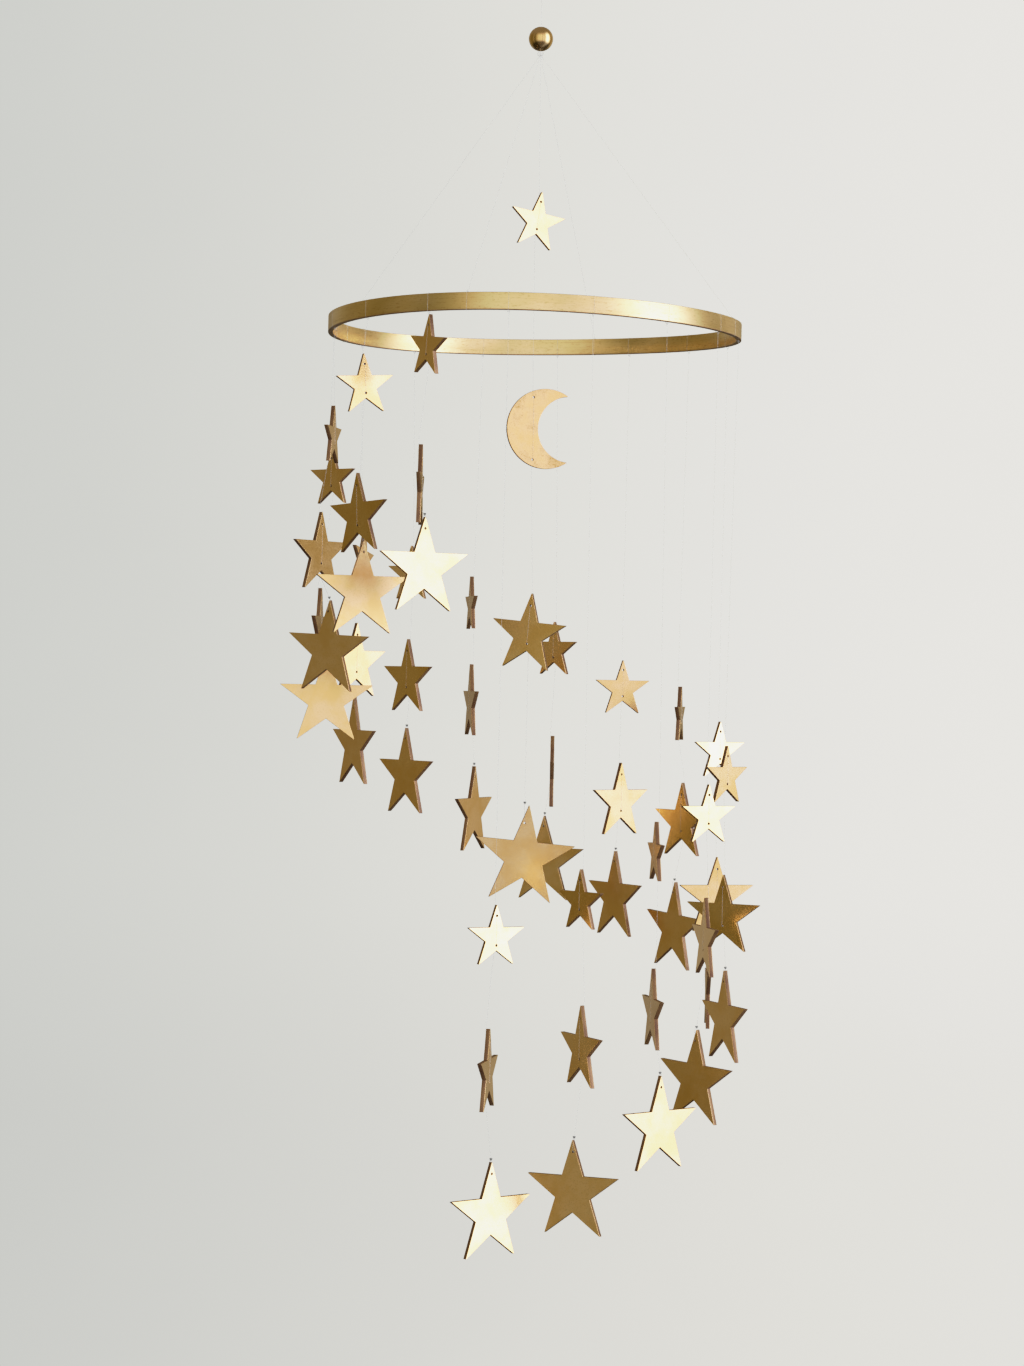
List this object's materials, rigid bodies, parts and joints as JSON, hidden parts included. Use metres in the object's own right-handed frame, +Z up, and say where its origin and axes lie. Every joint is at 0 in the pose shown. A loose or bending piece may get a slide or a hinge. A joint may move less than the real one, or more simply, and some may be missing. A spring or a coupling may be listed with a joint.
{
  "type": "hanging star and moon mobile",
  "caption": "Gilt wooden stars and a crescent moon on clear lines, hung in a descending spiral round a wooden hoop below a bead.",
  "frame": {"origin": "top of the hanging loop, where a hook holds the mobile", "axes": "+Z up along the hanging line; the front of the mobile, as the picture sees it, is towards -Y and +X is to its right"},
  "size_m": [0.2936, 0.2938, 0.7552],
  "materials": {
    "gilded_board": "2.5 mm plywood, laser cut, satin gold paint on both faces, burnt brown edges",
    "gilded_hoop": "bent wooden strip, brushed satin gold paint",
    "gilded_bead": "turned wooden bead, satin gold paint",
    "clear_line": "clear nylon line"
  },
  "bodies": {
    "root": {"hoop": "gilded_hoop", "bead": "gilded_bead", "crescent_moon": "gilded_board", "top_star": "gilded_board", "centre_medium_star": "gilded_board", "centre_large_star": "gilded_board", "small_star_01": "gilded_board", "medium_star_01": "gilded_board", "large_star_01": "gilded_board", "small_star_02": "gilded_board", "medium_star_02": "gilded_board", "large_star_02": "gilded_board", "small_star_03": "gilded_board", "medium_star_03": "gilded_board", "large_star_03": "gilded_board", "small_star_04": "gilded_board", "medium_star_04": "gilded_board", "large_star_04": "gilded_board", "small_star_05": "gilded_board", "medium_star_05": "gilded_board", "large_star_05": "gilded_board", "small_star_06": "gilded_board", "medium_star_06": "gilded_board", "large_star_06": "gilded_board", "small_star_07": "gilded_board", "medium_star_07": "gilded_board", "large_star_07": "gilded_board", "small_star_08": "gilded_board", "medium_star_08": "gilded_board", "large_star_08": "gilded_board", "small_star_09": "gilded_board", "medium_star_09": "gilded_board", "large_star_09": "gilded_board", "small_star_10": "gilded_board", "medium_star_10": "gilded_board", "large_star_10": "gilded_board", "small_star_11": "gilded_board", "medium_star_11": "gilded_board", "large_star_11": "gilded_board", "small_star_12": "gilded_board", "medium_star_12": "gilded_board", "large_star_12": "gilded_board", "small_star_13": "gilded_board", "medium_star_13": "gilded_board", "large_star_13": "gilded_board", "small_star_14": "gilded_board", "medium_star_14": "gilded_board", "large_star_14": "gilded_board", "small_star_15": "gilded_board", "medium_star_15": "gilded_board", "large_star_15": "gilded_board", "small_star_16": "gilded_board", "medium_star_16": "gilded_board", "large_star_16": "gilded_board", "hanging_line": "clear_line", "strand_line_1": "clear_line", "strand_line_2": "clear_line", "strand_line_3": "clear_line", "strand_line_4": "clear_line"}
  },
  "joints": []
}
